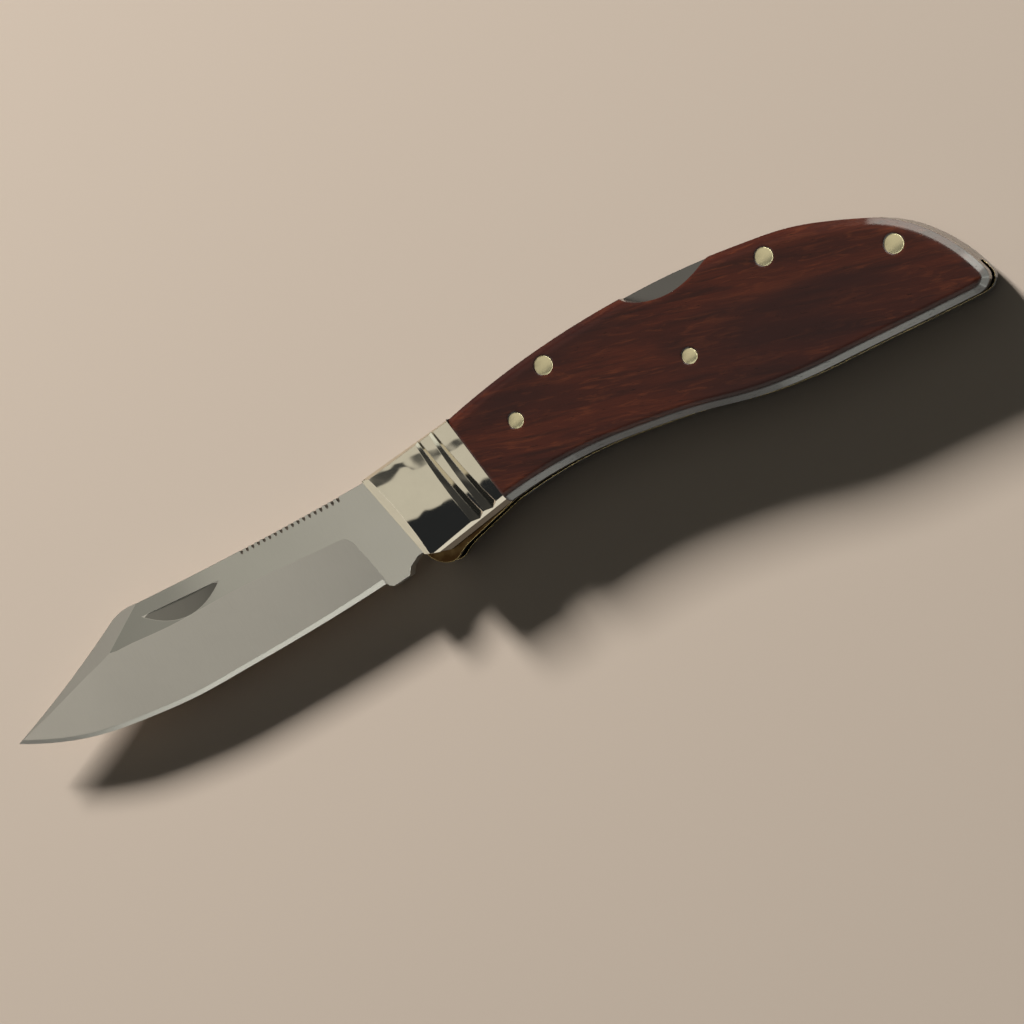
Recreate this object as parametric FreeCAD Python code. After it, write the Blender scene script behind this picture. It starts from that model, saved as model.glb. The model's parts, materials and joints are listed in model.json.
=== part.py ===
import FreeCAD, Part
import math
import os

# Lockback folding knife, open and lying on its right side. Millimetres, +Z up.
# Drawn with the blade's pivot at (0, 0): blade towards -X, spine towards +Y, butt towards +X.
# At export everything moves so that the origin is under the middle of the open knife.

# ---- driving dimensions ----
BLADE_THICK = 3.0
SIDE_PLAY = 0.1              # blade to liner, each side
LINER_THICK = 1.0
SCALE_THICK = 3.9
WELL = BLADE_THICK + 2 * SIDE_PLAY
TOTAL = WELL + 2 * LINER_THICK + 2 * SCALE_THICK
MID = TOTAL / 2              # height of the blade's middle plane
LINER_TOP = MID + WELL / 2 + LINER_THICK
RUNNING_GAP = 0.03           # radial clearance of the two turning fits
LOCK_GAP = 0.1               # clearance at the locking faces

PIVOT_R = 2.5
TANG_R = 8.2                 # the tang's round, on which the bar rides
BAR_PIN = (31.8, 13.6, 1.85)             # x, y, radius
FRONT_SCALE_PIN = (22.3, 6.4, 1.55)
MIDDLE_SCALE_PIN = (58.7, 3.3, 1.5)
SPACER_FRONT_PIN = (79.4, 14.0, 1.75)
SPACER_REAR_PIN = (102.4, 5.8, 1.85)
SCALE_PINS = [BAR_PIN, FRONT_SCALE_PIN, MIDDLE_SCALE_PIN, SPACER_FRONT_PIN, SPACER_REAR_PIN]
BOLSTER_RIVETS = [(-6.0, 4.4, 0.9), (-2.0, -5.6, 0.9)]
RIVET_TOP = LINER_TOP + 2.0  # blind in the bolster, so that its outer face stays plain
PIN_PROUD = 0.2              # how far the left side's pin heads stand over the wood

NOSE = 34.0                  # the bar pin to the locking face at the bar's front end
TAIL = 41.0                  # the bar pin to the bar's rear end
EDGE_HALF = 0.2              # half thickness behind the sharpened bevel
SHARP_HALF = 0.05            # half thickness at the cutting edge
SHARP_WIDTH = 0.6            # of the sharpened bevel
TIP_HALF = 0.2
LEAST_SLOPE = 0.07           # of the ground faces, rise over run
JIMPING = 18
JIMPING_DEPTH = 0.95
JIMPING_FIRST = (-43.4, 7.2)             # at the spine
JIMPING_LAST = (-19.9, 8.2)

NEARLY_STRAIGHT = 0.001      # half the turn, in radians, below which an arc is drawn as a line

CROWN_R = 48.0               # of the bolster's outer face, across the knife
CROWN_Y = 1.5                # where that face is highest
FLUTES = [((2.0, 10.0), (6.6, -6.5)), ((5.2, 11.0), (10.2, -6.5))]
FLUTE_DEPTH = 0.75           # at the flute's middle
FLUTE_WIDTH = 1.05           # half the mouth at that depth
FLUTE_LEAN = 1.4             # the flutes deepen towards the belly
FLUTE_SWEEP = 16             # degrees either side of the crest, past both edges of the face

FRONT_BEVEL = [(2.5, 0.1), (0.1, 2.5)]   # the bolster's edges: inset and drop from the outer face
BELLY_COVE = [(1.5, 0.9), (0.95, 2.5), (0.0, 3.2)]
TOP_BEVEL = [(0.7, 0.55), (0.1, 1.4)]

# ---- handle outline ----
BOLSTER_TOP_FRONT = (-12.8, 8.8)
BOLSTER_BOTTOM_FRONT = (-6.9, -9.2)
BOLSTER_LIP = (-1.6, -10.5)  # the lowest point of the bolster's belly
JOINT_TOP = (9.3, 12.4)      # where bolster and scale meet
JOINT_BOTTOM = (14.0, -7.0)
SPINE = [JOINT_TOP, (42.0, 18.3), (70.0, 18.7), (90.0, 15.8), (107.5, 7.0), (115.3, -5.2)]
BELLY = [(112.3, -8.8), (94.0, -9.2), (72.0, -9.3), (50.0, -6.1), (30.0, -5.1), JOINT_BOTTOM]
LINER_LOBE = [JOINT_BOTTOM, (2.4, -10.6), (-3.6, -12.5), BOLSTER_BOTTOM_FRONT]
RELEASE = [(48.6, 20.6), (52.0, 17.4), (57.8, 15.6), (66.0, 17.0), (70.8, 20.0)]
RIM_ROUND = [(0.0, 2.2), (0.3, 1.1), (1.1, 0.3), (2.2, 0.0)]       # inset and drop, on a 2.2 mm round
RIM_OVER = 0.5                  # how far the rim's cutters stand outside the wood
RUN_ON = 3.0                    # how far the rim's round is carried past the joint

# ---- blade outline ----
TIP = (-107.5, -9.2)
EDGE = [TIP, (-94.0, -13.6), (-73.0, -15.6), (-46.0, -14.1), (-18.4, -11.1)]
KICK = [(-18.4, -11.1), (-16.4, -12.2), (-12.5, -11.6), (-11.5, -10.1), (-9.3, -8.8)]
BACK = [(-13.5, 8.69), (-38.0, 7.3), (-69.3, 6.5)]
CLIP_CORNER = (-72.8, 6.45)
CLIP_TOP = (-75.8, 5.6)
CLIP_MIDDLE = (-92.0, -2.6)
SWEDGE_START = (-79.9, -0.7)
SWEDGE_END = (-69.8, 6.2)
GRIND_LINE = [TIP, (-93.7, -4.95), SWEDGE_START, (-66.0, -0.5), (-50.0, 0.4), (-32.0, 0.5), (-14.0, 0.5)]
GRIND_STEPS = 22
PLUNGE = [(-27.0, 2.0), (-23.1, 0.9), (-21.0, -0.7), (-19.7, -3.8), (-17.1, -12.6)]


def vec(point, z=0.0):
    return FreeCAD.Vector(point[0], point[1], z)


def polyline(points):
    """Straight edges from point to point."""
    return [Part.makeLine(vec(a), vec(b)) for a, b in zip(points, points[1:])]


def arc(a, b, c):
    """A circular edge from a through b to c."""
    return Part.Arc(vec(a), vec(b), vec(c)).toShape()


def heading(a, b, c, at):
    """The direction at one of the three points of the circle that runs a, b, c."""
    centre = Part.Arc(a, b, c).toShape().Curve.Center
    spoke = at - centre
    tangent = FreeCAD.Vector(-spoke.y, spoke.x, 0).normalize()
    return tangent if tangent.dot(c - a) > 0 else tangent * -1


def arc_leaving(start, direction, end):
    """The circular edge from start, in the given direction, to end."""
    chord = end - start
    turn = math.asin(direction.cross(chord).z / chord.Length)
    if abs(turn) < NEARLY_STRAIGHT:
        return Part.makeLine(start, end)
    rise = FreeCAD.Vector(chord.y, -chord.x, 0) * (math.tan(turn / 2) / 2)
    return Part.Arc(start, start + chord * 0.5 + rise, end).toShape()


def biarc(a, out, b, into):
    """Two tangent arcs from a, leaving along out, to b, arriving along into."""
    span, both = b - a, out + into
    bend = 2 * (1 - out.dot(into))
    if bend < 1e-7:
        reach = span.dot(span) / (4 * span.dot(into))
    else:
        reach = (math.sqrt(span.dot(both) ** 2 + bend * span.dot(span)) - span.dot(both)) / bend
    middle = (a + out * reach + b - into * reach) * 0.5
    return [arc_leaving(a, out, middle), arc_leaving(b, into * -1, middle)]


def smooth(points):
    """Tangent arcs through the points, two to each span."""
    at = [vec(p) for p in points]
    ways = [heading(a, b, c, b) for a, b, c in zip(at, at[1:], at[2:])]
    ways = [heading(at[0], at[1], at[2], at[0])] + ways + [heading(at[-3], at[-2], at[-1], at[-1])]
    edges = []
    for a, b, out, into in zip(at, at[1:], ways, ways[1:]):
        edges += biarc(a, out, b, into)
    return edges


def around(centre, radius, degrees):
    angle = math.radians(degrees)
    return (centre[0] + radius * math.cos(angle), centre[1] + radius * math.sin(angle))


def arc_around(centre, radius, start, end):
    return arc(*[around(centre, radius, a) for a in (start, (start + end) / 2, end)])


def at_radius(centre, radius, y, side):
    """The point on a circle at a given y, on its left (-1) or right (+1) side."""
    return (centre[0] + side * math.sqrt(radius ** 2 - (y - centre[1]) ** 2), y)


def prism(edges, low, high):
    """A flat plate with the outline given by edges, from height low to height high."""
    wire = Part.Wire(Part.__sortEdges__(edges))
    plate = Part.Face(wire).extrude(FreeCAD.Vector(0, 0, high - low))
    plate.translate(FreeCAD.Vector(0, 0, low))
    return plate


def rod(spec, low, high, extra=0.0):
    return Part.makeCylinder(spec[2] + extra, high - low, vec(spec, low))


def mirrored(shape):
    """The right side's piece, from the left side's."""
    return shape.mirror(FreeCAD.Vector(0, 0, MID), FreeCAD.Vector(0, 0, 1))


# ---- handle ----
def rear_outline():
    """The spine, the butt's corner and the belly, from the joint's top to its bottom."""
    spine, belly = smooth(SPINE), smooth(BELLY)
    out = heading(*[vec(p) for p in SPINE[-3:]], vec(SPINE[-1]))
    into = heading(*[vec(p) for p in BELLY[:3]], vec(BELLY[0]))
    return spine + biarc(vec(SPINE[-1]), out, vec(BELLY[0]), into) + belly


def handle_plate(low, high):
    """The liner's outline, with the lobe that covers the tang when the knife is shut."""
    front = polyline([BOLSTER_BOTTOM_FRONT, BOLSTER_TOP_FRONT, JOINT_TOP])
    return prism(rear_outline() + smooth(LINER_LOBE) + front, low, high)


def release_cut(low, high):
    """The dip in the spine where a thumb presses the lock bar."""
    lid = Part.makeLine(vec(RELEASE[-1]), vec(RELEASE[0]))
    return prism(smooth(RELEASE) + [lid], low, high)


def liner():
    low = MID + WELL / 2
    plate = handle_plate(low, LINER_TOP)
    cuts = [release_cut(low - 1, LINER_TOP + 1), rod((0, 0, PIVOT_R), low - 1, LINER_TOP + 1)]
    cuts += [rod(p, low - 1, LINER_TOP + 1) for p in SCALE_PINS + BOLSTER_RIVETS]
    return plate.cut(cuts)


def along_edge(edge, face, ring):
    """A cutter with the section ring, (inset, height) pairs, carried along one edge of a face's outline."""
    start = edge.valueAt(edge.FirstParameter)
    end = edge.valueAt(edge.LastParameter)
    middle = edge.valueAt((edge.FirstParameter + edge.LastParameter) / 2)
    curved = isinstance(edge.Curve, Part.Circle)
    if curved:
        inward = (edge.Curve.Center - start).normalize()
        probe = (edge.Curve.Center - middle).normalize()
    else:
        inward = FreeCAD.Vector(start.y - end.y, end.x - start.x, 0).normalize()
        probe = inward
    if not face.isInside(middle + probe * 0.1, 0.001, True):
        inward = inward * -1
    corners = [start + inward * inset + FreeCAD.Vector(0, 0, height) for inset, height in ring]
    profile = Part.Face(Part.makePolygon(corners + [corners[0]]))
    if curved:
        turn = edge.LastParameter - edge.FirstParameter
        return profile.revolve(edge.Curve.Center, edge.Curve.Axis, math.degrees(turn))
    return profile.extrude(end - start)


def outline_face(edges):
    return Part.Face(Part.Wire(Part.__sortEdges__(edges)))


def scale():
    """A wood scale: flat outside, its rim rounded, with the dip for the thumb."""
    top, bottom = vec(JOINT_TOP), vec(JOINT_BOTTOM)
    joint = Part.makeLine(bottom, top)
    slab = prism(rear_outline() + [joint], LINER_TOP, TOTAL)
    # The round runs on past the joint, so that it ends square against the bolster.
    before = top - (vec(SPINE[1]) - top).normalize() * RUN_ON
    after = bottom + (bottom - vec(BELLY[-2])).normalize() * RUN_ON
    rim = rear_outline() + [Part.makeLine(before, top), Part.makeLine(bottom, after)]
    face = outline_face(rim + [Part.makeLine(after, before)])
    steps = [(inset, TOTAL - drop) for inset, drop in RIM_ROUND]
    over = TOTAL + RIM_OVER
    ring = [(-RIM_OVER, steps[0][1])] + steps + [(steps[-1][0], over), (-RIM_OVER, over)]
    slab = slab.cut([along_edge(edge, face, ring) for edge in rim]).removeSplitter()
    slab = slab.cut(release_cut(LINER_TOP - 1, TOTAL + 1))
    return slab.cut([rod(p, LINER_TOP - 1, TOTAL + 1) for p in SCALE_PINS])


def edge_cut(start, end, profile):
    """A long cutter that shapes the outer face's edge along start to end.
    Its profile is (inset, drop) pairs from the face outwards; the material lies to the left of start to end."""
    run = vec(end) - vec(start)
    length = run.Length
    run.normalize()
    inward = FreeCAD.Vector(-run.y, run.x, 0)
    (i0, d0), (i1, d1) = profile[:2]
    first = (i0 + (i0 - i1) * d0 / (d1 - d0) * 1.5, -d0 * 0.5)
    (i2, d2), (i3, d3) = profile[-2:]
    last = (i3 + (i3 - i2) * 0.5, d3 + (d3 - d2) * 0.5)
    ring = [first] + profile + [last, (-3.0, last[1]), (-3.0, first[1])]
    base = vec(start, TOTAL) - run * 5
    corners = [base + inward * i - FreeCAD.Vector(0, 0, d) for i, d in ring]
    face = Part.Face(Part.makePolygon(corners + [corners[0]]))
    return face.extrude(run * (length + 10))


def flute(top, bottom):
    """A V-shaped groove across the crowned face, turned about an axis under it."""
    run = (vec(bottom) - vec(top)).normalize()
    across = FreeCAD.Vector(-run.y, run.x, 0)
    crest = vec(top) + run * ((vec((top[0], CROWN_Y)) - vec(top)).dot(run))
    radius = CROWN_R / run.y ** 2
    axis = crest - run * FLUTE_LEAN + FreeCAD.Vector(0, 0, TOTAL - radius)
    spread = FLUTE_WIDTH / FLUTE_DEPTH
    over = 1.5
    apex = axis + FreeCAD.Vector(0, 0, radius - FLUTE_DEPTH)
    lift = FreeCAD.Vector(0, 0, over)
    corners = [apex, apex + across * (over * spread) + lift, apex - across * (over * spread) + lift]
    face = Part.Face(Part.makePolygon(corners + [corners[0]]))
    face.rotate(axis, across, -FLUTE_SWEEP)
    return face.revolve(axis, across, 2 * FLUTE_SWEEP)


def crown(low):
    """Everything under the bolster's crowned outer face, from height low."""
    body = Part.makeCylinder(CROWN_R, 60, FreeCAD.Vector(-25, CROWN_Y, TOTAL - CROWN_R), FreeCAD.Vector(1, 0, 0))
    return body.common(Part.makeBox(60, 40, TOTAL - low, FreeCAD.Vector(-25, -20, low)))


def bolster():
    """The metal end cap: crowned, bevelled in front, flared at the belly, with two flutes."""
    lip = [JOINT_BOTTOM, BOLSTER_LIP, (-4.2, -9.9), BOLSTER_BOTTOM_FRONT]
    outline = polyline(lip + [BOLSTER_TOP_FRONT, JOINT_TOP, JOINT_BOTTOM])
    block = prism(outline, LINER_TOP, TOTAL).common(crown(LINER_TOP))
    block = block.cut([
        edge_cut(BOLSTER_TOP_FRONT, BOLSTER_BOTTOM_FRONT, FRONT_BEVEL),
        edge_cut(BOLSTER_LIP, JOINT_BOTTOM, BELLY_COVE),
        edge_cut(JOINT_TOP, BOLSTER_TOP_FRONT, TOP_BEVEL),
    ] + [flute(*ends) for ends in FLUTES])
    sockets = [rod(r, LINER_TOP - 1, RIVET_TOP) for r in BOLSTER_RIVETS]
    return block.cut(sockets + [rod((0, 0, PIVOT_R), LINER_TOP - 1, TOTAL + 1)])


def pivot_pin():
    """The pin that the blade turns on, dressed off flush with both crowned faces."""
    half_pin = rod((0, 0, PIVOT_R), MID, TOTAL).common(crown(MID))
    return half_pin.fuse(mirrored(half_pin)).removeSplitter()


def proud_pin(spec, low):
    """A pin that stands a little proud of the left scale and is flush below."""
    return rod(spec, low, TOTAL + PIN_PROUD)


def back_spacer():
    """The steel piece between the liners behind the bar, shaped round the shut blade."""
    pin = BAR_PIN[:2]
    radius = TAIL + LOCK_GAP
    top = at_radius(pin, radius, 24.0, 1)
    middle = at_radius(pin, radius, 15.0, 1)
    bottom = at_radius(pin, radius, 8.8, 1)
    well = smooth([bottom, (80.0, 7.7), (90.0, 6.0), (98.0, 3.6), (104.5, 1.3), (110.6, -3.2)])
    rest = polyline([(110.6, -3.2), (118.0, -3.2), (118.0, 24.0), top])
    low = MID - WELL / 2
    region = prism([arc(top, middle, bottom)] + well + rest, low, low + WELL)
    body = region.common(handle_plate(low, low + WELL))
    body = body.cut(spring_strip(low - 1, low + WELL + 1))
    return body.cut([rod(p, low - 1, low + WELL + 1) for p in (SPACER_FRONT_PIN, SPACER_REAR_PIN)])


def spring_strip(low, high):
    """The leaf whose nose pushes the bar's tail outwards; its root sits in the spacer."""
    top = [(62.4, 13.55), (79.4, 11.2), (91.0, 9.6)]
    bottom = [(90.8, 8.3), (79.2, 9.8), (62.2, 12.2)]
    nose = arc(bottom[-1], (61.5, 12.95), top[0])
    return prism(polyline(top + bottom) + [nose], low, high)


def lock_spring():
    return spring_strip(MID - BLADE_THICK / 2, MID + BLADE_THICK / 2)


# ---- lock bar ----
def lock_bar():
    """The rocker: its nose stands against the tang's shoulder, its tail fills the spine."""
    pin = BAR_PIN[:2]
    nose = [at_radius(pin, NOSE, y, -1) for y in (14.0, 11.0)]
    lug_r = TANG_R + 0.15
    lug_front = around((0, 0), lug_r, 102.2)
    tail = [at_radius(pin, TAIL, y, 1) for y in (14.0, 18.0, 24.0)]
    underside = [around((0, 0), lug_r, 72), (4.0, 9.0), (11.0, 9.2), (12.4, 10.7), (19.6, 10.7),
                 (21.0, 10.0), (33.0, 10.0), (44.0, 11.3), (53.0, 13.2), (60.0, 13.65), tail[0]]
    edges = [arc(nose[0], nose[1], lug_front), arc_around((0, 0), lug_r, 102.2, 72)]
    edges += polyline(underside)
    edges += [arc(*tail), Part.makeLine(vec(tail[-1]), vec((tail[-1][0] - 5, 26.0)))]
    edges += polyline([(tail[-1][0] - 5, 26.0), (nose[0][0], 26.0), nose[0]])
    low = MID - BLADE_THICK / 2
    region = prism(edges, low, low + BLADE_THICK)
    bar = region.common(handle_plate(low, low + BLADE_THICK))
    return bar.cut(rod(BAR_PIN, low - 1, low + BLADE_THICK + 1, RUNNING_GAP))


# ---- blade ----
def blade_blank():
    """The blade's flat blank with its tang: shoulder, lock notch and round."""
    pin = BAR_PIN[:2]
    radius = NOSE + LOCK_GAP
    shoulder = [at_radius(pin, radius, y, -1) for y in (6.1, 8.0, 10.53)]
    notch_rear = around((0, 0), TANG_R, 70)
    tang_start = around((0, 0), TANG_R, 255)
    edges = smooth(EDGE) + polyline(KICK + [tang_start])
    edges += [arc_around((0, 0), TANG_R, 255, 430)]
    edges += polyline([notch_rear, (2.3, 6.1), shoulder[0]])
    edges += [arc(*shoulder), Part.makeLine(vec(shoulder[-1]), vec(BACK[0]))] + smooth(BACK)
    edges += [arc(BACK[-1], CLIP_CORNER, CLIP_TOP), arc(CLIP_TOP, CLIP_MIDDLE, TIP)]
    low = MID - BLADE_THICK / 2
    return prism(edges, low, low + BLADE_THICK)


def height_at(curve, x, beyond):
    """The height of a chain of edges at x, or beyond where x is past its end."""
    upright = Part.makeLine(vec((x, -30.0)), vec((x, 20.0)))
    gap, points, _ = Part.Wire(curve).distToShape(upright)
    return points[0][0].y if gap < 0.01 else beyond


def grind_section(x, line_y, edge_y, half, slope):
    """One slice of the waste that the main grind removes, above the ground face."""
    over, under, clear = line_y + 2.5, edge_y - 4.0, BLADE_THICK + 0.4
    heights = [half + (y - line_y) * slope for y in (over, under)]
    ring = [(over, heights[0]), (over, clear), (under, clear), (under, heights[1])]
    points = [FreeCAD.Vector(x, y, MID + z) for y, z in ring]
    return Part.makePolygon(points + [points[0]])


def main_grind():
    """The waste on the left side of the blade, from the grind line down to the edge."""
    full = BLADE_THICK / 2
    edge, line = smooth(EDGE), Part.BSplineCurve()
    line.interpolate([vec(p) for p in GRIND_LINE])
    sections = [grind_section(TIP[0] - 3.5, TIP[1] - 1.1, TIP[1] - 1.1, 0.1, LEAST_SLOPE)]
    for step in range(GRIND_STEPS + 1):
        x = TIP[0] + (GRIND_LINE[-1][0] - TIP[0]) * step / GRIND_STEPS
        line_y = height_at([line.toShape()], x, GRIND_LINE[-1][1])
        edge_y = height_at(edge, x, EDGE[-1][1])
        to_tip = max((SWEDGE_START[0] - x) / (SWEDGE_START[0] - TIP[0]), 0.0)
        half = full - (full - TIP_HALF) * to_tip
        slope = max((half - EDGE_HALF) / max(line_y - edge_y, 4.0), LEAST_SLOPE)
        sections.append(grind_section(x, line_y, edge_y, half, slope))
    return Part.makeLoft(sections, True, True).cut(ricasso_keep())


def ricasso_keep():
    """The unground ricasso: its front is the plunge line, rounded over to the grind line."""
    rest = polyline([PLUNGE[-1], (-10.0, -20.0), (-5.0, 6.0), (PLUNGE[0][0], 6.0), PLUNGE[0]])
    return prism(smooth(PLUNGE) + rest, MID - BLADE_THICK, MID + BLADE_THICK)


def sharpening():
    """The waste over the sharpened bevel, left side, all along the cutting edge."""
    slope = (EDGE_HALF - SHARP_HALF) / SHARP_WIDTH
    inner, outer = 2 * SHARP_WIDTH, -SHARP_WIDTH
    heights = [MID + SHARP_HALF + inset * slope for inset in (inner, outer)]
    over = MID + BLADE_THICK
    ring = [(outer, heights[1]), (inner, heights[0]), (inner, over), (outer, over)]
    above = polyline([EDGE[-1], (EDGE[-1][0], 0.0), (TIP[0], 0.0), TIP])
    face = outline_face(smooth(EDGE) + above)
    return [along_edge(edge, face, ring) for edge in smooth(EDGE)]


def swedge():
    """The false edge: one flat that thins the back of the clip down to the point."""
    half = BLADE_THICK / 2
    line_a = vec(SWEDGE_START, MID + half)
    line_b = vec(SWEDGE_END, MID + half)
    point = vec(TIP, MID + TIP_HALF)
    along = (line_b - line_a).normalize()
    normal = along.cross(point - line_a).normalize()
    if normal.z < 0:
        normal = normal * -1
    box = Part.makeBox(90, 60, 10, FreeCAD.Vector(-70, -15, 0))
    turn = FreeCAD.Rotation(along, normal.cross(along), normal, "ZXY")
    box.Placement = FreeCAD.Placement(line_a, turn)
    return box


def nail_nick():
    """The crescent for a thumbnail: a large wheel sunk at a slant, flat side to the spine."""
    width, reach, depth = 19.0, 3.8, 0.7
    wheel_r = ((width / 2) ** 2 + depth ** 2) / (2 * depth)
    top = FreeCAD.Vector(-59.9, 3.5, MID + BLADE_THICK / 2 - depth)
    along = FreeCAD.Vector(0, -reach, depth).normalize()
    up = FreeCAD.Vector(0, depth, reach).normalize()
    return Part.makeCylinder(wheel_r, 9, top + up * wheel_r, along)


def jimping_cuts():
    """Small round-bottomed notches filed across the spine for the thumb."""
    cuts = []
    first, last = vec(JIMPING_FIRST), vec(JIMPING_LAST)
    for i in range(JIMPING):
        at = first + (last - first) * (i / (JIMPING - 1)) - FreeCAD.Vector(0, JIMPING_DEPTH, 0)
        sides = [(-0.42, 3.0), (-0.3, 0.35), (-0.14, 0.0), (0.14, 0.0), (0.3, 0.35), (0.42, 3.0)]
        ring = [(at.x + x, at.y + y) for x, y in sides]
        cuts.append(prism(polyline(ring + [ring[0]]), MID - BLADE_THICK, MID + BLADE_THICK))
    return cuts


def blade():
    grinds = [main_grind(), swedge()] + sharpening()
    grinds += [mirrored(g) for g in grinds]
    steel = blade_blank().cut(grinds)
    steel = steel.cut(jimping_cuts() + [nail_nick()])
    return steel.cut(rod((0, 0, PIVOT_R), 0, TOTAL, RUNNING_GAP))


def build():
    pieces = {"blade": blade(), "lock_bar": lock_bar(), "lock_spring": lock_spring()}
    pieces["back_spacer"] = back_spacer()
    rivets = Part.makeCompound([rod(r, MID + WELL / 2, RIVET_TOP) for r in BOLSTER_RIVETS])
    left = {"liner": liner(), "scale": scale(), "bolster": bolster(), "bolster_rivets": rivets}
    for name, shape in left.items():
        pieces["left_" + name] = shape
        pieces["right_" + name] = mirrored(shape)
    pieces["pivot_pin"] = pivot_pin()
    pieces["lock_bar_pin"] = proud_pin(BAR_PIN, 0)
    pieces["spacer_front_pin"] = proud_pin(SPACER_FRONT_PIN, 0)
    pieces["spacer_rear_pin"] = proud_pin(SPACER_REAR_PIN, 0)
    for name, spec in (("front", FRONT_SCALE_PIN), ("middle", MIDDLE_SCALE_PIN)):
        pieces["left_" + name + "_scale_pin"] = proud_pin(spec, MID + WELL / 2)
        pieces["right_" + name + "_scale_pin"] = rod(spec, 0, MID - WELL / 2)
    return pieces


CENTRE = FreeCAD.Vector(3.97, 1.74, 0)   # the middle of the open knife, seen from the pivot

os.makedirs("parts", exist_ok=True)
for name, shape in build().items():
    shape.translate(CENTRE * -1)
    shape.exportStep("parts/" + name + ".step")
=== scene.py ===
"""Lockback folding knife, open on a plain pale floor: materials, spun pin heads, the bending
spring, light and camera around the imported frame."""

import json
import math

import bmesh
import bpy
from mathutils import Matrix, Vector

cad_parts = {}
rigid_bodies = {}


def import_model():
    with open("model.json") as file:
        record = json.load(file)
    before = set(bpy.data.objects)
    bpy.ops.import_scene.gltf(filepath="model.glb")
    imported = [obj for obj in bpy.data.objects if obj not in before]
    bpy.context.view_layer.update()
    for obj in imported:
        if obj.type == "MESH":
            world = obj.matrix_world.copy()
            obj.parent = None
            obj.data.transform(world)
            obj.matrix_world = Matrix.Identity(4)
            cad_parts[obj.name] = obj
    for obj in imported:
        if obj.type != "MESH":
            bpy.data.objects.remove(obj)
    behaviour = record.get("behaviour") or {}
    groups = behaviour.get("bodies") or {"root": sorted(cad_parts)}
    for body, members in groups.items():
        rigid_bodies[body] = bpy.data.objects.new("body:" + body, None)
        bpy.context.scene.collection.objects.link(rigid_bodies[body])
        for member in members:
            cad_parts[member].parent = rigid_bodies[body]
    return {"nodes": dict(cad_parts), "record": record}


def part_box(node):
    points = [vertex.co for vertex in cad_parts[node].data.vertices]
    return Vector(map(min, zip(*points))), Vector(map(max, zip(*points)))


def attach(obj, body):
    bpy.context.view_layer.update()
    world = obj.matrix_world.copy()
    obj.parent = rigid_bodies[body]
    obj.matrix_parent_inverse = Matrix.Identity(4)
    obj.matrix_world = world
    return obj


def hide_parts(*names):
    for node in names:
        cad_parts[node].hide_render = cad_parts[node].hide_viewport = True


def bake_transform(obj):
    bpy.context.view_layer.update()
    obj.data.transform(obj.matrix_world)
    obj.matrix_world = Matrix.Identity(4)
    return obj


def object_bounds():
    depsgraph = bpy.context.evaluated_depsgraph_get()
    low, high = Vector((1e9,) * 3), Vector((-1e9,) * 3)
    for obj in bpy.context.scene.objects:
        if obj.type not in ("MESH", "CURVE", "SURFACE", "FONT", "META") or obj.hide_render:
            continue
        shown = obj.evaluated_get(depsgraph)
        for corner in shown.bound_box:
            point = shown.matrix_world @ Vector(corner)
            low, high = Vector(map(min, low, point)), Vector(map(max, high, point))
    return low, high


MM = 0.001

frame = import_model()
cad_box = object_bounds()
scene = bpy.context.scene
nodes = frame["nodes"]

pivot_low, pivot_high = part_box("pivot_pin")
pivot = (pivot_low + pivot_high) / 2
blade_low, blade_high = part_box("blade")


# ---------------------------------------------------------------- node helpers

def material(name):
    """An empty node material and its tree, ready for a Principled surface."""
    mat = bpy.data.materials.new(name)
    mat.use_nodes = True
    tree = mat.node_tree
    tree.nodes.clear()
    out = tree.nodes.new("ShaderNodeOutputMaterial")
    skin = tree.nodes.new("ShaderNodeBsdfPrincipled")
    tree.links.new(skin.outputs[0], out.inputs["Surface"])
    return mat, tree, skin


def feed(tree, socket, value):
    """A socket gets a link or a constant."""
    if isinstance(value, bpy.types.NodeSocket):
        tree.links.new(value, socket)
    else:
        socket.default_value = value


def coordinates(tree, kind="Object"):
    return tree.nodes.new("ShaderNodeTexCoord").outputs[kind]


def true_normal(tree):
    return tree.nodes.new("ShaderNodeNewGeometry").outputs["Normal"]


def axes(tree, vector):
    """The X, Y and Z of a vector."""
    made = tree.nodes.new("ShaderNodeSeparateXYZ")
    tree.links.new(vector, made.inputs[0])
    return made.outputs


def place(tree, turn, scale, shift=(0.0, 0.0, 0.0)):
    """Row-frame coordinates, turned about Z, then scaled per axis (cycles per metre).
    A pattern that is stretched along their X runs at the angle -turn from +X."""
    turned = tree.nodes.new("ShaderNodeVectorRotate")
    turned.rotation_type = "Z_AXIS"
    turned.inputs["Angle"].default_value = turn
    tree.links.new(coordinates(tree), turned.inputs["Vector"])
    sized = tree.nodes.new("ShaderNodeMapping")
    sized.inputs["Scale"].default_value = scale
    sized.inputs["Location"].default_value = shift
    tree.links.new(turned.outputs["Vector"], sized.inputs["Vector"])
    return sized.outputs["Vector"]


def noise(tree, at, scale, detail, rough, warp=0.0):
    made = tree.nodes.new("ShaderNodeTexNoise")
    feed(tree, made.inputs["Vector"], at)
    made.inputs["Scale"].default_value = scale
    made.inputs["Detail"].default_value = detail
    made.inputs["Roughness"].default_value = rough
    made.inputs["Distortion"].default_value = warp
    return made.outputs["Fac"]


def ramp(tree, value, stops, smooth=False):
    """A colour ramp. Each stop is (position, grey or rgb)."""
    made = tree.nodes.new("ShaderNodeValToRGB")
    band = made.color_ramp
    band.interpolation = "EASE" if smooth else "LINEAR"
    while len(band.elements) < len(stops):
        band.elements.new(0.5)
    for element, (at, colour) in zip(band.elements, stops):
        element.position = at
        rgb = (colour,) * 3 if isinstance(colour, (int, float)) else colour
        element.color = (*rgb, 1.0)
    feed(tree, made.inputs["Fac"], value)
    return made.outputs["Color"]


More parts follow.
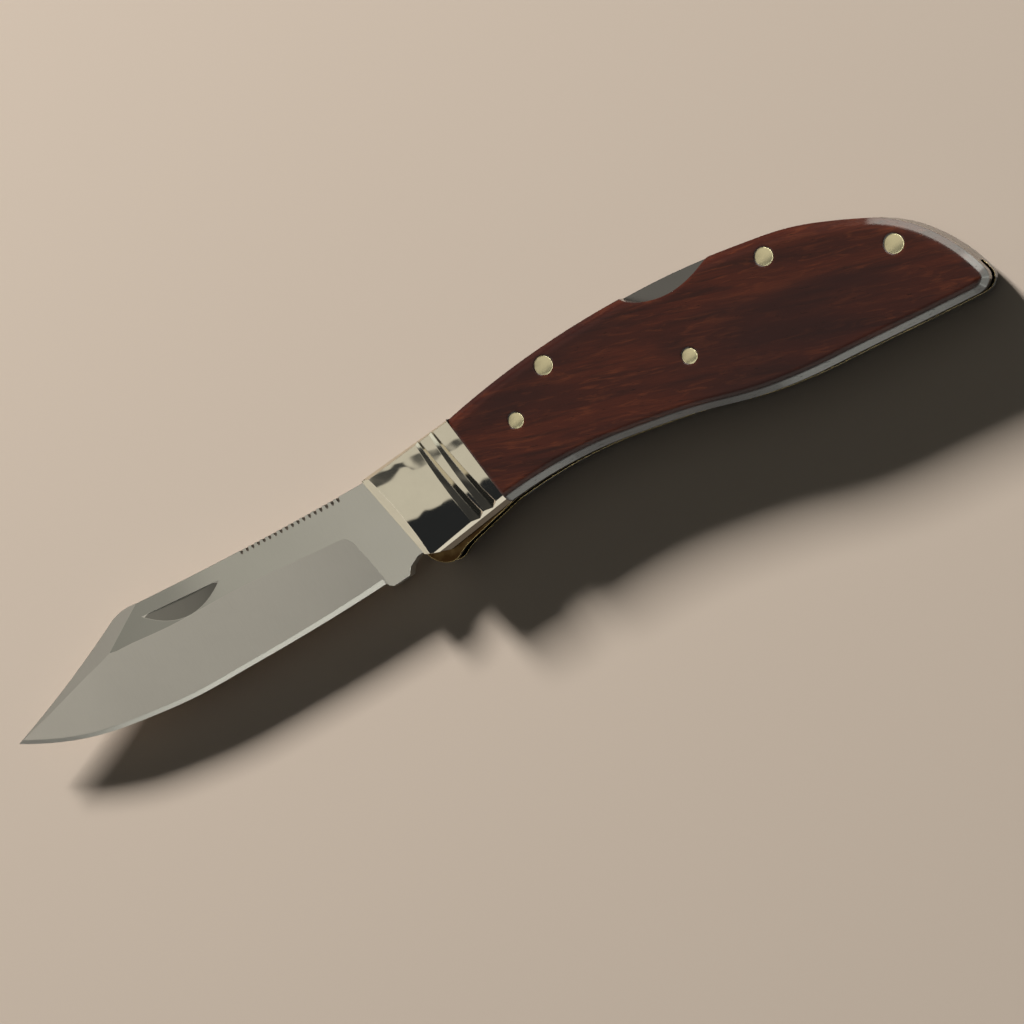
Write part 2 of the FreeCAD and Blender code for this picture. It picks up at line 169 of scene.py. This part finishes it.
def maths(tree, kind, a, b=0.0, clamp=False):
    made = tree.nodes.new("ShaderNodeMath")
    made.operation = kind
    made.use_clamp = clamp
    feed(tree, made.inputs[0], a)
    feed(tree, made.inputs[1], b)
    return made.outputs[0]


def within(tree, value, low, high):
    """1 between low and high, 0 outside."""
    above = maths(tree, "GREATER_THAN", value, low)
    return maths(tree, "MULTIPLY", above, maths(tree, "LESS_THAN", value, high))


def spread(tree, value, low, high):
    """A 0 to 1 value stretched to low..high."""
    made = tree.nodes.new("ShaderNodeMapRange")
    feed(tree, made.inputs["Value"], value)
    made.inputs["To Min"].default_value = low
    made.inputs["To Max"].default_value = high
    return made.outputs["Result"]


def blend(tree, factor, a, b, kind="MIX"):
    """Two colours mixed. Each is a socket or an rgb tuple."""
    made = tree.nodes.new("ShaderNodeMix")
    made.data_type = "RGBA"
    made.blend_type = kind
    feed(tree, made.inputs["Factor"], factor)
    for socket, value in ((made.inputs["A"], a), (made.inputs["B"], b)):
        feed(tree, socket, (*value, 1.0) if isinstance(value, tuple) else value)
    return made.outputs["Result"]


def mixed_vector(tree, factor, a, b):
    made = tree.nodes.new("ShaderNodeMix")
    made.data_type = "VECTOR"
    feed(tree, made.inputs["Factor"], factor)
    vectors = [socket for socket in made.inputs if socket.type == "VECTOR" and socket.name in "AB"]
    feed(tree, vectors[0], a)
    feed(tree, vectors[1], b)
    return next(socket for socket in made.outputs if socket.type == "VECTOR")


def eased(tree, radius, samples=4, hidden=None):
    """Normals of the part with its sharp edges rounded off by `radius`, but not inside the
    upright cylinder `hidden` = (x, y, radius)."""
    made = tree.nodes.new("ShaderNodeBevel")
    made.samples = samples
    made.inputs["Radius"].default_value = radius
    if hidden is None:
        return made.outputs["Normal"]
    at = axes(tree, coordinates(tree))
    x, y = [maths(tree, "SUBTRACT", at[axis], centre) for axis, centre in zip("XY", hidden)]
    reach = maths(tree, "ADD", maths(tree, "MULTIPLY", x, x), maths(tree, "MULTIPLY", y, y))
    inside = maths(tree, "LESS_THAN", reach, hidden[2] ** 2)
    return mixed_vector(tree, inside, made.outputs["Normal"], true_normal(tree))


def worn(tree, radius):
    """0 on flats, rising to 1 along edges: how far an eased normal leaves the true one."""
    dot = tree.nodes.new("ShaderNodeVectorMath")
    dot.operation = "DOT_PRODUCT"
    tree.links.new(true_normal(tree), dot.inputs[0])
    tree.links.new(eased(tree, radius), dot.inputs[1])
    return ramp(tree, dot.outputs["Value"], [(0.86, 1.0), (0.995, 0.0)])


def sanded(tree, normal, least):
    """A rounded rim sanded like a chamfer: where it turns over, its normal keeps a Z of at
    least `least`. Walls that stand nearly upright stay as they are."""
    x, y, z = axes(tree, normal)
    turning = ramp(tree, maths(tree, "ABSOLUTE", z), [(0.05, 0.0), (0.2, 1.0)])
    flat = maths(tree, "SQRT", maths(tree, "SUBTRACT", 1.0, maths(tree, "MULTIPLY", z, z), True))
    raised = maths(tree, "MULTIPLY", flat, least / math.sqrt(1 - least ** 2))
    raised = maths(tree, "MULTIPLY", raised, turning)
    lifted = maths(tree, "MAXIMUM", maths(tree, "ABSOLUTE", z), raised)
    made = tree.nodes.new("ShaderNodeCombineXYZ")
    feed(tree, made.inputs["X"], x)
    feed(tree, made.inputs["Y"], y)
    feed(tree, made.inputs["Z"], maths(tree, "MULTIPLY", lifted, maths(tree, "SIGN", z)))
    unit = tree.nodes.new("ShaderNodeVectorMath")
    unit.operation = "NORMALIZE"
    tree.links.new(made.outputs[0], unit.inputs[0])
    return unit.outputs["Vector"]


def bump(tree, height, normal):
    """The normal, tilted by the slope of a height in metres."""
    made = tree.nodes.new("ShaderNodeBump")
    made.inputs["Strength"].default_value = 1.0
    made.inputs["Distance"].default_value = 1.0
    feed(tree, made.inputs["Height"], height)
    feed(tree, made.inputs["Normal"], normal)
    return made.outputs["Normal"]


# ---------------------------------------------------------------- materials

LEVEL_Z = 0.9993                        # the normal of a face that lies flat has a larger |Z|
BELT_DEPTH, HAIR_DEPTH = 0.0003 * MM, 0.0002 * MM
RUBBED_STEEL_AND_HIGHLIGHT = (0.78, 0.77, 0.73)       # on worn edges, partly a painted edge highlight
RECESS_PAINTED_SHADE = (0.17, 0.165, 0.15)   # painted shade in the nail nick and the thumb notches

# A bolster's cove on the belly side, told by its normals.
COVE_WALL_Z, COVE_WALL_Y = (0.2, 0.5), -0.75
COVE_SHELF_Z, COVE_SHELF_Y = (0.7, 0.9), -0.45
COVE_HOLLOW_Y, COVE_HOLLOW_Z = -0.59, 0.81
# painted shade on the cove's shelf, standing for the shadowed floor it mirrors
COVE_SHELF_PAINTED_SHADE = (0.13, 0.105, 0.08)

# The rim of a wood scale.
RIM_RADIUS = 0.9 * MM
RIM_LEAST_Z = 0.819                     # 35 degrees off the flat

# The blade's marks, in mm from the pivot in X and Y, and in mm under the blade's left face.
NICK_X, NICK_Y, NICK_HALF_LENGTH, NICK_HALF_WIDTH = -59.9, 1.9, 10.5, 2.6
NICK_DEEPEST, NICK_SHALLOWEST, NICK_DARKNESS = 0.8, 0.012, 0.85
NOTCHES_FROM, NOTCHES_TO, NOTCHES_ABOVE = -44.6, -18.9, 5.0


def satin_steel(name, lines, tone, rough, ease, seed=0.0, flats=None, dark=None):
    """Steel with a belt finish: fine lines at the angle -lines from +X, faint clouding and
    brighter worn edges, partly a painted edge highlight. `flats` gives the faces that lie flat
    a painted reflection along X, as (x, tone) pairs. `dark(tree)` is a mask of painted shade."""
    mat, tree, skin = material(name)
    belt = place(tree, lines, (260.0, 9000.0, 3000.0), (seed, seed, seed))
    belt = noise(tree, belt, 1.0, 3.0, 0.6)
    cloud = place(tree, 0.3, (55.0, 80.0, 80.0), (seed, 2.0, 1.0))
    cloud = noise(tree, cloud, 1.0, 3.0, 0.55)
    base = tone
    # the faces that lie flat get a painted reflection: a tone that changes along X
    if flats:
        (start, _), (end, _) = flats[0], flats[-1]
        x = axes(tree, coordinates(tree))["X"]
        along = maths(tree, "DIVIDE", maths(tree, "SUBTRACT", x, start), end - start, True)
        stops = [((x - start) / (end - start), colour) for x, colour in flats]
        upright = maths(tree, "ABSOLUTE", axes(tree, true_normal(tree))["Z"])
        level = maths(tree, "GREATER_THAN", upright, LEVEL_Z)
        base = blend(tree, level, tone, ramp(tree, along, stops, True))
    for pattern in (cloud, belt):
        shade = ramp(tree, pattern, [(0.3, 0.98), (0.7, 1.02)])
        base = blend(tree, 1.0, base, shade, "MULTIPLY")
    # edges lightened: partly wear, partly a painted edge highlight
    base = blend(tree, maths(tree, "MULTIPLY", worn(tree, ease), 0.5), base, RUBBED_STEEL_AND_HIGHLIGHT)
    # painted shade in the nail nick and on the notch walls
    if dark:
        base = blend(tree, dark(tree), base, RECESS_PAINTED_SHADE)
    feed(tree, skin.inputs["Base Color"], base)
    skin.inputs["Metallic"].default_value = 1.0
    feed(tree, skin.inputs["Roughness"], spread(tree, belt, rough - 0.03, rough + 0.03))
    height = maths(tree, "MULTIPLY", belt, BELT_DEPTH)
    feed(tree, skin.inputs["Normal"], bump(tree, height, eased(tree, ease)))
    return mat


def painted_recess_shade(tree):
    """Where shade is painted: in the nail nick, and on the walls of the thumb
    notches in the spine."""
    at, way = axes(tree, coordinates(tree)), axes(tree, true_normal(tree))
    across = maths(tree, "SUBTRACT", at["X"], pivot.x + NICK_X * MM)
    across = maths(tree, "DIVIDE", across, NICK_HALF_LENGTH * MM)
    up = maths(tree, "SUBTRACT", at["Y"], pivot.y + NICK_Y * MM)
    up = maths(tree, "DIVIDE", up, NICK_HALF_WIDTH * MM)
    reach = maths(tree, "MULTIPLY", across, across)
    reach = maths(tree, "ADD", reach, maths(tree, "MULTIPLY", up, up))
    top = blade_high.z
    sunk = within(tree, at["Z"], top - NICK_DEEPEST * MM, top - NICK_SHALLOWEST * MM)
    nick = maths(tree, "MULTIPLY", maths(tree, "LESS_THAN", reach, 1.0), sunk)
    # the nick's own faces, not the grind that the ellipse also covers
    cut = maths(tree, "MAXIMUM", maths(tree, "GREATER_THAN", way["Y"], -0.02),
                maths(tree, "LESS_THAN", way["Z"], 0.9))
    nick = maths(tree, "MULTIPLY", maths(tree, "MULTIPLY", nick, cut), NICK_DARKNESS)
    notched = within(tree, at["X"], pivot.x + NOTCHES_FROM * MM, pivot.x + NOTCHES_TO * MM)
    walls = maths(tree, "GREATER_THAN", maths(tree, "ABSOLUTE", way["X"]), 0.25)
    high = maths(tree, "GREATER_THAN", at["Y"], pivot.y + NOTCHES_ABOVE * MM)
    notched = maths(tree, "MULTIPLY", maths(tree, "MULTIPLY", notched, walls), high)
    return maths(tree, "ADD", nick, notched, True)


def coved(tree, base, normal):
    """The colour and normal of a bolster with its belly cove finished: the steep wall shaded
    hollow, and painted shade on the shelf that is its floor."""
    x, y, z = axes(tree, true_normal(tree))
    upright = maths(tree, "ABSOLUTE", z)
    wall = maths(tree, "MULTIPLY", within(tree, upright, *COVE_WALL_Z),
                 maths(tree, "LESS_THAN", y, COVE_WALL_Y))
    hollow = tree.nodes.new("ShaderNodeCombineXYZ")
    hollow.inputs["Y"].default_value = COVE_HOLLOW_Y
    side = maths(tree, "SIGN", z)
    feed(tree, hollow.inputs["Z"], maths(tree, "MULTIPLY", side, COVE_HOLLOW_Z))
    shelf = maths(tree, "MULTIPLY", within(tree, upright, *COVE_SHELF_Z),
                  maths(tree, "LESS_THAN", y, COVE_SHELF_Y))
    return (blend(tree, shelf, base, COVE_SHELF_PAINTED_SHADE),
            mixed_vector(tree, wall, normal, hollow.outputs[0]))


def buffed_metal(name, tone, rough, ease, wave=0.004 * MM, dark_tone=None, hidden=None, lean=0.0,
                 cove=False):
    """Hand-buffed metal: soft waves in the surface, hairlines, and an optional darker tone that is
    kept off the edges. `lean` is the slope in Y that uneven buffing has left."""
    mat, tree, skin = material(name)
    waves = place(tree, 0.5, (110.0, 150.0, 130.0), (3.1, 0.4, 2.0))
    waves = noise(tree, waves, 1.0, 1.0, 0.4, 0.4)
    hair = noise(tree, place(tree, 1.2, (600.0, 16000.0, 6000.0)), 1.0, 2.0, 0.5)
    stain = place(tree, 0.0, (260.0, 260.0, 260.0), (1.0, 7.0, 0.0))
    stain = noise(tree, stain, 1.0, 4.0, 0.6)
    shade = ramp(tree, stain, [(0.35, 0.97), (0.62, 1.0)])
    base = blend(tree, 1.0, tone, shade, "MULTIPLY")
    # the metal darkened in patches, and kept bright near the edges
    if dark_tone:
        patches = ramp(tree, stain, [(0.25, 0.9), (0.6, 1.0)])
        kept = ramp(tree, worn(tree, 0.16 * MM), [(0.05, 1.0), (0.5, 0.0)])
        base = blend(tree, maths(tree, "MULTIPLY", patches, kept), base, dark_tone)
    smooth = eased(tree, ease, 4, hidden)
    # the cove's wall gets a hollow normal, and its shelf gets painted shade
    if cove:
        base, smooth = coved(tree, base, smooth)
    feed(tree, skin.inputs["Base Color"], base)
    skin.inputs["Metallic"].default_value = 1.0
    feed(tree, skin.inputs["Roughness"], spread(tree, hair, rough - 0.02, rough + 0.02))
    slope = maths(tree, "MULTIPLY", axes(tree, coordinates(tree))["Y"], lean)
    height = maths(tree, "MULTIPLY", waves, wave)
    height = maths(tree, "ADD", height, maths(tree, "MULTIPLY", hair, HAIR_DEPTH))
    height = maths(tree, "ADD", height, slope)
    feed(tree, skin.inputs["Normal"], bump(tree, height, smooth))
    return mat


def rosewood(name, seed):
    """Oiled and buffed rosewood: long red and black figure along the grain, pores, and a gloss
    that is thin on the flat and full on the rim."""
    mat, tree, skin = material(name)
    grain = math.radians(13)

    def pattern(along, across, offset, *character):
        """Noise stretched along the grain, from cycles per metre along and across it."""
        at = place(tree, grain, (along, across, across), (seed, *offset))
        return noise(tree, at, 1.0, *character)

    bend = pattern(22.0, 60.0, (1.3, 0.0), 2.0, 0.5)
    figure = pattern(26.0, 230.0, (0.0, 2.0), 4.0, 0.55, 0.7)
    streak = pattern(48.0, 820.0, (5.0, 1.0), 4.0, 0.6, 0.5)
    fleck = pattern(150.0, 900.0, (9.0, 4.0), 3.0, 0.65, 0.9)
    pore = pattern(420.0, 4200.0, (2.0, 8.0), 2.0, 0.5)
    fibre = pattern(300.0, 7000.0, (1.0, 3.0), 2.0, 0.5)
    wood = ramp(tree, figure, [(0.28, (0.020, 0.006, 0.0045)), (0.45, (0.036, 0.009, 0.006)),
                               (0.58, (0.050, 0.0115, 0.0065)), (0.75, (0.074, 0.017, 0.008))],
                True)
    for layer, stops, smooth, colour in (
            (fleck, [(0.52, 0.0), (0.74, 0.6)], False, (0.115, 0.030, 0.012)),
            (streak, [(0.28, 0.7), (0.46, 0.0)], False, (0.013, 0.005, 0.0045)),
            (bend, [(0.38, 0.8), (0.58, 0.0)], True, (0.019, 0.007, 0.0065)),
            (fibre, [(0.35, 0.3), (0.6, 0.0)], False, (0.018, 0.006, 0.005))):
        wood = blend(tree, ramp(tree, layer, stops, smooth), wood, colour)
    holes = ramp(tree, pore, [(0.24, 1.0), (0.31, 0.0)])
    feed(tree, skin.inputs["Base Color"], blend(tree, holes, wood, (0.008, 0.004, 0.003)))
    feed(tree, skin.inputs["Roughness"], spread(tree, streak, 0.36, 0.28))
    skin.inputs["Specular IOR Level"].default_value = 0.11
    rim = eased(tree, RIM_RADIUS, 8)
    upright = maths(tree, "ABSOLUTE", axes(tree, rim)["Z"])
    gloss = ramp(tree, upright, [(0.86, 1.0), (0.97, 0.24)])
    feed(tree, skin.inputs["Coat Weight"], gloss)
    skin.inputs["Coat Roughness"].default_value = 0.12
    height = maths(tree, "MULTIPLY", holes, -0.012 * MM)
    height = maths(tree, "ADD", height, maths(tree, "MULTIPLY", fibre, 0.0015 * MM))
    rounded = bump(tree, height, sanded(tree, rim, RIM_LEAST_Z))
    feed(tree, skin.inputs["Normal"], rounded)
    feed(tree, skin.inputs["Coat Normal"], rounded)
    return mat


# The pivot pin is polished out of sight, so no edge is eased around it.
over_pivot = (pivot.x, pivot.y, (pivot_high.x - pivot_low.x) / 2 + 0.4 * MM)
NICKEL_SILVER = (0.82, 0.765, 0.64)
# painted reflection on the blade's flat faces: darker towards the tip, lighter towards the pivot
blade_painted_reflection = [(blade_low.x + share * (pivot.x - blade_low.x), tone) for share, tone in (
    (0.0, (0.28, 0.28, 0.255)), (0.40, (0.42, 0.415, 0.385)),
    (0.55, (0.60, 0.59, 0.545)), (1.0, (0.68, 0.665, 0.62)))]

blade_steel = satin_steel("blade_satin_steel", math.radians(84), (0.745, 0.713, 0.665), 0.30,
                          0.13 * MM, 0.0, blade_painted_reflection, painted_recess_shade)
spring_steel = satin_steel("lock_steel", math.radians(5), (0.185, 0.178, 0.172), 0.22,
                           0.08 * MM, 3.0)
silver = buffed_metal("buffed_nickel_silver", NICKEL_SILVER, 0.05, 0.15 * MM, 0.17 * MM,
                      hidden=over_pivot, lean=0.04, cove=True)
rivet_silver = buffed_metal("rivet_nickel_silver", NICKEL_SILVER, 0.05, 0.001 * MM, 0.17 * MM,
                            hidden=over_pivot, lean=0.04)
brass = buffed_metal("liner_brass", (0.80, 0.60, 0.27), 0.14, 0.08 * MM,
                     dark_tone=(0.045, 0.024, 0.009))
pin_brass = buffed_metal("pin_brass", (0.86, 0.77, 0.50), 0.30, 0.05 * MM)
wood_left = rosewood("rosewood_left", 0.0)
wood_right = rosewood("rosewood_right", 11.0)

FINISH = {
    "blade": blade_steel,
    "lock_bar": spring_steel,
    "lock_spring": spring_steel,
    "back_spacer": spring_steel,
    "left_liner": brass,
    "right_liner": brass,
    "left_scale": wood_left,
    "right_scale": wood_right,
    "left_bolster": silver,
    "right_bolster": silver,
    "left_bolster_rivets": rivet_silver,
    "right_bolster_rivets": rivet_silver,
    "pivot_pin": rivet_silver,
}
for name, node in nodes.items():
    for slot in node.material_slots:
        slot.link = "OBJECT"
        slot.material = FINISH.get(name, pin_brass)


# ---------------------------------------------------------------- pins with spun heads

CROWN = 0.2 * MM                        # the height of a head's dome
FOOT_CHAMFER = 0.05 * MM
PIN_SIDES, CROWN_RINGS = 64, 12
SHARP_ANGLE = math.radians(25)


def spun_profile(radius, foot, top):
    """A pin's half section from its foot to the middle of its crown: (radius, height) pairs."""
    profile = [(0.0, foot), (radius - FOOT_CHAMFER, foot), (radius, foot + FOOT_CHAMFER),
               (radius, top - CROWN)]
    sphere = (radius ** 2 + CROWN ** 2) / (2 * CROWN)
    for step in range(1, CROWN_RINGS + 1):
        away = radius * (1 - step / CROWN_RINGS)
        profile.append((away, top - sphere + math.sqrt(sphere ** 2 - away ** 2)))
    return profile


def domed_pin(node):
    """A turned pin with a spun, slightly crowned head, in the place of the plain node."""
    low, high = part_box(node)
    centre, radius = (low + high) / 2, (high.x - low.x) / 2
    mesh = bpy.data.meshes.new(node + "_spun")
    form = bmesh.new()
    angles = [2 * math.pi * k / PIN_SIDES for k in range(PIN_SIDES)]
    loops = []
    for away, height in spun_profile(radius, low.z, high.z):
        spots = [(centre.x + away * math.cos(a), centre.y + away * math.sin(a), height)
                 for a in angles] if away else [(centre.x, centre.y, height)]
        loops.append([form.verts.new(spot) for spot in spots])
    for lower, upper in zip(loops, loops[1:]):
        for k in range(PIN_SIDES):
            after = (k + 1) % PIN_SIDES
            if len(lower) == 1:
                form.faces.new((lower[0], upper[after], upper[k]))
            elif len(upper) == 1:
                form.faces.new((lower[k], lower[after], upper[0]))
            else:
                form.faces.new((lower[k], lower[after], upper[after], upper[k]))
    for face in form.faces:
        face.smooth = True
    for edge in form.edges:
        if len(edge.link_faces) == 2 and edge.calc_face_angle(0.0) > SHARP_ANGLE:
            edge.smooth = False
    form.to_mesh(mesh)
    form.free()
    piece = bpy.data.objects.new(node + "_spun", mesh)
    scene.collection.objects.link(piece)
    mesh.materials.append(pin_brass)
    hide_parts(node)
    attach(piece, "handle")


for pin in ("lock_bar_pin", "spacer_front_pin", "spacer_rear_pin", "left_front_scale_pin",
            "left_middle_scale_pin"):
    domed_pin(pin)


# ---------------------------------------------------------------- the spring, which bends

SPRING_SLICES = 14
WELD_DISTANCE = 1e-6


def bending_spring():
    """The leaf spring in short slices, so that it can bend from its root in the spacer to the lock
    bar's tail."""
    low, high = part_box("lock_spring")
    root = next(d["fixed_end_x_m"] for j in frame["record"]["behaviour"]["joints"]
                for d in j.get("deforming_nodes", []) if d["node"] == "lock_spring")
    form = bmesh.new()
    form.from_mesh(nodes["lock_spring"].data)
    bmesh.ops.remove_doubles(form, verts=form.verts, dist=WELD_DISTANCE)
    for step in range(1, SPRING_SLICES):
        at = low.x + (root - low.x) * step / SPRING_SLICES
        bmesh.ops.bisect_plane(form, geom=form.verts[:] + form.edges[:] + form.faces[:],
                               plane_co=(at, 0.0, 0.0), plane_no=(1.0, 0.0, 0.0))
    mesh = bpy.data.meshes.new("leaf_spring")
    form.to_mesh(mesh)
    form.free()
    piece = bpy.data.objects.new("leaf_spring", mesh)
    scene.collection.objects.link(piece)
    mesh.materials.append(spring_steel)
    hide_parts("lock_spring")
    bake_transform(piece)


bending_spring()


# ---------------------------------------------------------------- floor and light

FLOOR_HALF = 6.0
PANEL_AWAY, PANEL_COLOUR = 1.16, (0.98, 1.0, 0.90)


def plain_floor():
    half, level = FLOOR_HALF, cad_box[0].z
    mesh = bpy.data.meshes.new("floor")
    mesh.from_pydata([(-half, -half, level), (half, -half, level), (half, half, level),
                      (-half, half, level)], [], [(0, 1, 2, 3)])
    floor = bpy.data.objects.new("floor", mesh)
    scene.collection.objects.link(floor)
    mat, tree, skin = material("floor_plain")
    tone = noise(tree, place(tree, 0.2, (2.0, 2.0, 2.0)), 1.0, 3.0, 0.5)
    base = blend(tree, tone, (0.470, 0.405, 0.345), (0.500, 0.432, 0.368))
    feed(tree, skin.inputs["Base Color"], base)
    skin.inputs["Roughness"].default_value = 0.8
    skin.inputs["Specular IOR Level"].default_value = 0.2
    mesh.materials.append(mat)


def lamp(name, way, distance, size, watts, colour, diffuse=False):
    """A rectangular lamp in the direction `way` from the object, facing it. Size is (width,
    height). Without diffuse light it is only mirrored."""
    data = bpy.data.lights.new(name, "AREA")
    data.shape = "RECTANGLE"
    data.size, data.size_y = size
    data.energy = watts
    data.color = colour
    lit = bpy.data.objects.new(name, data)
    scene.collection.objects.link(lit)
    aim = Vector(way).normalized()
    lit.location = aim * distance
    lit.rotation_euler = aim.to_track_quat("Z", "Y").to_euler()
    lit.visible_diffuse = diffuse
    return lit


def lights():
    """One key lamp for the diffuse light, and panels for the reflections. Most panels are linked
    to the pieces that mirror them, so that the other pieces stay dark there."""
    key = lamp("key", (-0.245, 0.884, 0.40), 2.0, (0.34, 0.34), 104.0, (1.0, 0.96, 0.91), True)
    key.visible_glossy = False
    silver_pieces = bpy.data.collections.new("silver_pieces")
    other_pieces = bpy.data.collections.new("other_pieces")
    for piece in scene.objects:
        if piece.type == "MESH":
            silvery = "bolster" in piece.name or piece.name == "pivot_pin"
            (silver_pieces if silvery else other_pieces).objects.link(piece)
    for name, way, size, watts, pieces in (
            ("butt_panel", (0.578, 0.689, 0.438), (0.98, 0.25), 3.9, other_pieces),
            ("corner_panel", (0.895, 0.078, 0.438), (1.08, 0.25), 3.0, other_pieces),
            ("heel_panel", (0.689, -0.578, 0.438), (0.90, 0.25), 2.2, other_pieces),
            ("belly_panel_rear", (0.125, -0.890, 0.438), (0.90, 0.25), 1.3, other_pieces),
            ("belly_strip", (-0.35, -0.828, 0.438), (0.70, 0.25), 0.55, other_pieces),
            ("edge_panel", (0.0, -0.53, 0.85), (1.5, 0.3), 2.1, other_pieces),
            ("flute_panel", (0.575, 0.745, 0.335), (0.98, 0.75), 1.7, silver_pieces)):
        panel = lamp(name, way, PANEL_AWAY, size, watts, PANEL_COLOUR)
        panel.light_linking.receiver_collection = pieces
    lamp("belly_panel", (-0.34, -0.88, 0.335), 1.1, (0.6, 0.2), 0.25, (1.0, 0.97, 0.90))
    lamp("tip_panel", (-0.94, -0.15, 0.32), 1.1, (0.7, 0.5), 1.1, (1.0, 0.96, 0.88))


def sky():
    """What metal mirrors: an overhead panel that ends above the knife, a dark room past it, warm
    at the horizon. A ramp reads only 0 to 1, so some get their value plus a half."""
    world = bpy.data.worlds.new("studio")
    scene.world = world
    world.use_nodes = True
    tree = world.node_tree
    tree.nodes.clear()
    out = tree.nodes.new("ShaderNodeOutputWorld")
    back = tree.nodes.new("ShaderNodeBackground")
    tree.links.new(back.outputs[0], out.inputs[0])
    way = coordinates(tree, "Generated")
    x, y, z = axes(tree, way)
    # the panel: high up, and on the +Y side of a slightly wavy, slanted line
    soft = noise(tree, way, 4.0, 2.0, 0.5)
    line = maths(tree, "ADD", y, maths(tree, "MULTIPLY", x, -0.10))
    line = maths(tree, "ADD", line, maths(tree, "MULTIPLY", soft, 0.12))
    near = ramp(tree, maths(tree, "ADD", line, 0.5), [(0.455, 0.0), (0.475, 1.0)], True)
    high = ramp(tree, z, [(0.62, 0.0), (0.74, 1.0)], True)
    panel = maths(tree, "MULTIPLY", near, high)
    # a dark beam along it, which ends towards +X
    beam = ramp(tree, line, [(0.27, 0.0), (0.29, 0.93), (0.35, 0.93), (0.37, 0.0)], True)
    ahead = ramp(tree, maths(tree, "ADD", x, 0.5), [(0.135, 1.0), (0.17, 0.0)], True)
    gap = maths(tree, "SUBTRACT", 1.0, maths(tree, "MULTIPLY", beam, ahead))
    panel = maths(tree, "MULTIPLY", panel, gap)
    room = ramp(tree, z, [(0.0, (0.17, 0.155, 0.135)), (0.35, (0.085, 0.08, 0.07)),
                          (0.75, (0.020, 0.022, 0.025))], True)
    feed(tree, back.inputs["Color"], blend(tree, panel, room, (0.60, 0.575, 0.505)))
    mirrored = tree.nodes.new("ShaderNodeLightPath").outputs["Is Glossy Ray"]
    feed(tree, back.inputs["Strength"], spread(tree, mirrored, 0.30, 1.0))


plain_floor()
lights()
sky()


# ---------------------------------------------------------------- camera

AZIMUTH, ELEVATION, ROLL = math.radians(82.477), math.radians(70.0), math.radians(107.0)
AWAY, LENS, SENSOR = 0.597, 110.0, 36.0
AIM_X, AIM_Y = 0.54513, 0.18969         # shares of the CAD box
PINS_PROUD = 0.2 * MM                   # the aim lies on the scales' flat, under the pin heads


def camera():
    """The photograph's viewing angle: azimuth, elevation and roll about the line of sight."""
    data = bpy.data.cameras.new("camera")
    data.lens, data.sensor_width = LENS, SENSOR
    data.clip_start, data.clip_end = 0.01, 50.0
    cam = bpy.data.objects.new("camera", data)
    scene.collection.objects.link(cam)
    low, high = cad_box
    target = Vector((low.x + AIM_X * (high.x - low.x), low.y + AIM_Y * (high.y - low.y),
                     high.z - PINS_PROUD))
    away = Vector((math.sin(AZIMUTH) * math.cos(ELEVATION),
                   -math.cos(AZIMUTH) * math.cos(ELEVATION), math.sin(ELEVATION)))
    level = Vector((0, 0, 1)).cross(away).normalized()
    upright = away.cross(level)
    up = upright * math.cos(ROLL) + level * math.sin(ROLL)
    right = up.cross(away)
    cam.location = target + away * AWAY
    cam.rotation_euler = Matrix((right, up, away)).transposed().to_euler()
    scene.camera = cam


camera()
scene.view_settings.view_transform = "Standard"
